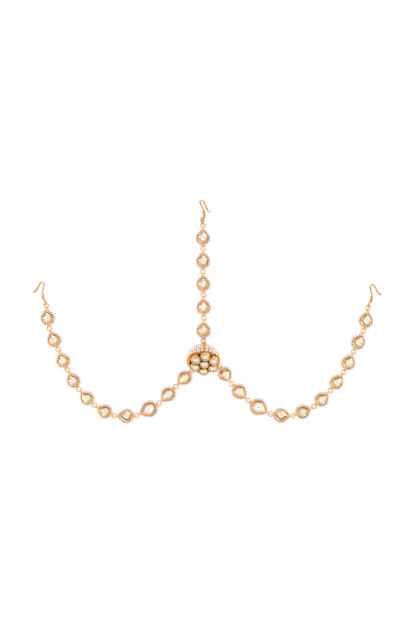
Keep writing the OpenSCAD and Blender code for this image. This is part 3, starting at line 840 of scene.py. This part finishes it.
for strand, (lean, bare, bends, side) in HOOKS.items():
    at = moved(*LOOPS[strand][-1]) @ Matrix.Diagonal((side, 1, 1, 1))
    leaned = at @ turned(-HOOK_SLOPE, "X") @ turned(-lean, "Z")
    # the two points left off at the end make room for the ball that rounds it
    path = evenly(bent(bends, (0, LOOP_D / 2)), SHANK_POINTS)[1:-2]
    half = SHANK_POINTS // 2
    swell = [SHANK_SWELL * max(0, k - half) / (half - 1) for k in range(len(path))]
    widths = [SHANK_WIDTH + s for s in swell]
    shank = settle(wire([(*p, 0) for p in path], HOOK_WIRE, 12, taper=widths), leaned)
    end = settle(ball(HOOK_WIRE / 2 * widths[-1], (*path[-1], 0), 16, 10), leaned)
    eye = settle(ring(
        LOOP_D / 2 + EYE_ROOM, LOOP_WIRE / 2, 28, 12,
        location=(0, EYE_ROOM, 0), rotation=(0, math.radians(EYE_TURN), 0),
    ), at)

    turns, wrap_start = [], (LOOP_D + LOOP_WIRE) / 2 + bare
    wrap_r = (HOOK_WIRE + WRAP_WIRE) / 2 - WRAP_SINK
    for k in range(WRAP_STEPS * WRAP_TURNS + 1):
        a = 2 * math.pi * k / WRAP_STEPS
        y = wrap_start + WRAP_WIRE * k / WRAP_STEPS
        turns.append((wrap_r * math.cos(a), y, wrap_r * math.sin(a)))
    wrapped = [settle(wire(turns, WRAP_WIRE, 8), leaned)]
    bead_y = wrap_start + WRAP_WIRE * WRAP_TURNS + BEAD_D / 2 - BEAD_SINK
    wrapped.append(settle(ball(BEAD_D / 2, (BEAD_X, bead_y, BEAD_Z)), leaned))
    if strand == "top":
        wrapped.append(settle(wire(evenly(TAIL, TAIL_POINTS), TAIL_WIRE, 10), at))
        wrapped.append(settle(ball(TIP_R, TIP_AT), at))

    for parts, ending, finish, replaced in (
        ([shank, eye, end], "_hook_wire", "WireGold", [strand + "_hook"]),
        (wrapped, "_hook_wrap", "WrapGold", ()),
    ):
        hook = joined(parts, strand + ending)
        face_out()
        dress(hook, GOLD[finish], 50, replaced)

# The pendant: rows of seed pearls and the wires between them

ROW_R = DOME_R + PEARL_GAP + DOME_PEARL_D / 2
ROW_FIRST = math.degrees(math.asin((PEARL_GAP + DOME_PEARL_D / 2 - BAND_LOW) / ROW_R))
ROW_STEP = math.degrees(2 * math.asin((DOME_PEARL_D + PEARL_GAP) / 2 / ROW_R))
STRAP_AT = BAND_TURN + STRAP_STONE * 360 / RIM_STONES


def on_dome(radius, azimuth, tilt):
    """A point at an angle round the dome and an angle up from its middle towards the cap."""
    a, t = math.radians(azimuth), math.radians(tilt)
    level = radius * math.cos(t)
    return (level * math.cos(a), level * math.sin(a), -radius * math.sin(t))


def loop_way(heading, fall):
    """The way out from the dome's middle to a side loop, as the dome lies before it leans."""
    return PENDANT.to_3x3().inverted() @ way_out(heading, fall)


def beside(p, way):
    """How far a point on the dome is from the line out to a loop."""
    return (p - way * p.dot(way)).length if p.dot(way) > 0 else DOME_R


loop_ways = [loop_way(*angles) for angles in SIDE_LOOPS.values()]
clear = (LOOP_D + LOOP_WIRE) / 2 + LOOP_ROOM
seed = pearl_model(DOME_PEARL_D)
places, threads = [], []
for row in range(PEARL_ROWS):
    tilt = ROW_FIRST + row * ROW_STEP
    count = round(2 * math.pi * ROW_R * math.cos(math.radians(tilt)) / DOME_PEARL_D)
    for k in range(count):
        azimuth = STRAP_AT + (k + 0.5) * 360 / count
        p = Vector(on_dome(ROW_R, azimuth, tilt))
        if all(beside(p, way) > clear for way in loop_ways):
            places.append(PENDANT @ moved(*p) @ turned(azimuth, "Z"))
    between = tilt + ROW_STEP / 2
    line = [on_dome(DOME_R + PEARL_GAP, k * 360 / ROW_POINTS, between) for k in range(ROW_POINTS)]
    threads.append(settle(wire(line, ROW_WIRE, 6, closed=True), PENDANT))
dress(copies(seed, places, "dome_seed_pearls"), dome_pearl, 80, ["dome_pearls"])
dress(joined(threads, "dome_row_wires"), GOLD["PetalGold"], 60)
bpy.data.objects.remove(seed)

# The strap down the dome from its mouth, and the collets of the band's stones

line = [on_dome(DOME_R + BAND_T + STRAP_BAND_RISE, STRAP_AT, t) for t in STRAP_BAND_TILTS]
line += [on_dome(ROW_R + STRAP_ROW_RISE, STRAP_AT, t) for t in STRAP_ROW_TILTS]
# the strap widens all the way, and faster towards its end, which stops short of the top loop
widths = []
for k in range(len(line)):
    flare = STRAP_FLARE * max(0, k - FLARE_FROM) / FLARE_STEPS
    widths.append(STRAP_NARROW + STRAP_GROWS * k + flare)
strap = settle(wire(line, STRAP_WIRE, 12, taper=widths), PENDANT, "dome_strap")
dress(strap, GOLD["StrapGold"], 50)

collet = ring(RIM_STONE_D / 2 + COLLET_ROOM, COLLET_WIRE / 2, 20, 8)
places = []
for k in range(RIM_STONES):
    places.append(
        PENDANT
        @ turned(BAND_TURN + (k + 0.5) * 360 / RIM_STONES, "Z")
        @ moved(DOME_R, 0, (BAND_LOW + BAND_TOP) / 2)
        @ turned(90, "Y")
        @ moved(0, 0, BAND_T + COLLET_RISE)
    )
dress(copies(collet, places, "band_collets"), GOLD["ColletGold"], 60)
bpy.data.objects.remove(collet)

# Feet, enamel and bezels of the flower's cups

spots = [(0, 0)]
for degrees in range(90, 450, 60):
    a = math.radians(degrees)
    spots.append((PETAL_PITCH * math.cos(a), PETAL_PITCH * math.sin(a)))
sleeves, crests, feet = [], [], []
circle = partial(round_outline, PETAL_D / 2)
for x, y in spots:
    at = FLOWER @ moved(x, y, 0)
    sleeves.append(settle(outline_band(CUP_ENAMEL, circle, CUP_CORNERS), at))
    crests.append(settle(outline_band(CUP_BEZEL, circle, CUP_CORNERS), at))
    if x or y:
        lopsided = partial(foot_outline, PETAL_D / 2, math.atan2(y, x))
        feet.append(settle(outline_band(CUP_FOOT, lopsided, CUP_CORNERS), at))
dress(joined(feet, "flower_feet"), GOLD["FootGold"], 30)
dress(joined(sleeves, "flower_enamel"), green, 30)
dress(joined(crests, "flower_bezels"), GOLD["PetalGold"], 30)

# Finishes of the CAD's own pieces: the first of these words that a piece's name holds

CAD_FINISHES = (
    ("flower_stone", flower_stone), ("stones", stone), ("dome", GOLD["DomeGold"]),
    ("flower", GOLD["CupGold"]), ("links", GOLD["LinkGold"]), ("", GOLD["PlateGoldPaintedLight"]),
)
for name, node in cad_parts.items():
    if not node.hide_render:
        finish = next(look for word, look in CAD_FINISHES if word in name)
        for place in node.material_slots:
            place.material = finish
        if not node.material_slots:
            node.data.materials.append(finish)

# Floor, world, lights and camera

# In metres. The floor's own soft glow keeps it white and its shadows light.
FLOOR_SIZE, FLOOR_Z, FLOOR_GREY, FLOOR_GLOW = 16, -0.0001, 0.2, 0.85
deselect()
bpy.ops.mesh.primitive_plane_add(size=FLOOR_SIZE, location=(0, 0, FLOOR_Z))
floor = bpy.context.object
floor.name = "floor"
floor_finish, _, shader = new_material("FloorWhite")
put(shader, {
    "Base Color": (FLOOR_GREY, FLOOR_GREY, FLOOR_GREY, 1), "Roughness": 0.8,
    "Emission Color": (1, 1, 1, 1), "Emission Strength": FLOOR_GLOW,
})
floor.data.materials.append(floor_finish)

# The gold reflects a pale room with a dark low band, which reaches higher on the far side. The
# camera itself sees plain white there.
ROOM_WAY, BAND_EDGE, STUDIO_LEVEL = (-0.08, -0.145, 1), (0.15, 0.25), 0.9
BAND_COLOUR, ROOM_COLOUR = (0.04, 0.035, 0.03, 1), (1.0, 0.99, 0.97, 1)
SEEN_WHITE = (1.1, 1.1, 1.1, 1)
world = bpy.data.worlds.new("Studio")
bpy.context.scene.world = world
world.use_nodes = True
tree = world.node_tree
background = tree.nodes["Background"]
way = add(tree, "ShaderNodeTexCoord").outputs["Generated"]
glow = ramped(tree, vector_maths(tree, "DOT_PRODUCT", way, ROOM_WAY), *BAND_EDGE)
room = mixed(tree, glow, BAND_COLOUR, ROOM_COLOUR)
seen = add(tree, "ShaderNodeLightPath").outputs["Is Camera Ray"]
feed(tree, background.inputs["Color"], mixed(tree, seen, room, SEEN_WHITE))
put(background, {"Strength": STUDIO_LEVEL})
bpy.context.scene.view_settings.view_transform = "Standard"

# Name, place, size and power of each soft light, in metres and watts. They all face one spot.
LIGHTS = (
    ("KeyLight", (-0.6, -0.55, 0.6), (0.95, 0.95), 3.3),
    ("FillLight", (0.7, -0.1, 0.6), (0.3, 0.5), 1.2),
    ("BackLight", (0.0, 0.6, 0.75), (0.8, 0.2), 2.0),
)
LIT_SPOT = Vector((0, -0.02, 0))
for name, at, size, power in LIGHTS:
    deselect()
    bpy.ops.object.light_add(type="AREA", location=at)
    lamp = bpy.context.object
    lamp.name = name
    lamp.data.shape = "RECTANGLE"
    lamp.data.size, lamp.data.size_y = size
    lamp.data.energy = power
    lamp.rotation_euler = (LIT_SPOT - Vector(at)).to_track_quat("-Z", "Y").to_euler()

# Straight above, in metres. At the ornament's middle height a pixel is PIXEL_MM wide.
CAMERA_AT, PIXEL_MM, MIDDLE_Z, FRAME_W, SENSOR_W = (0.00067, -0.00038, 0.510), 0.8, 1.5, 416, 36
deselect()
bpy.ops.object.camera_add(location=CAMERA_AT, rotation=(0, 0, 0))
camera = bpy.context.object
camera.name = "Camera"
camera.data.sensor_fit = "HORIZONTAL"
camera.data.sensor_width = SENSOR_W
camera.data.lens = SENSOR_W * (CAMERA_AT[2] / MM - MIDDLE_Z) / (FRAME_W * PIXEL_MM)
camera.data.clip_start = 0.01
bpy.context.scene.camera = camera
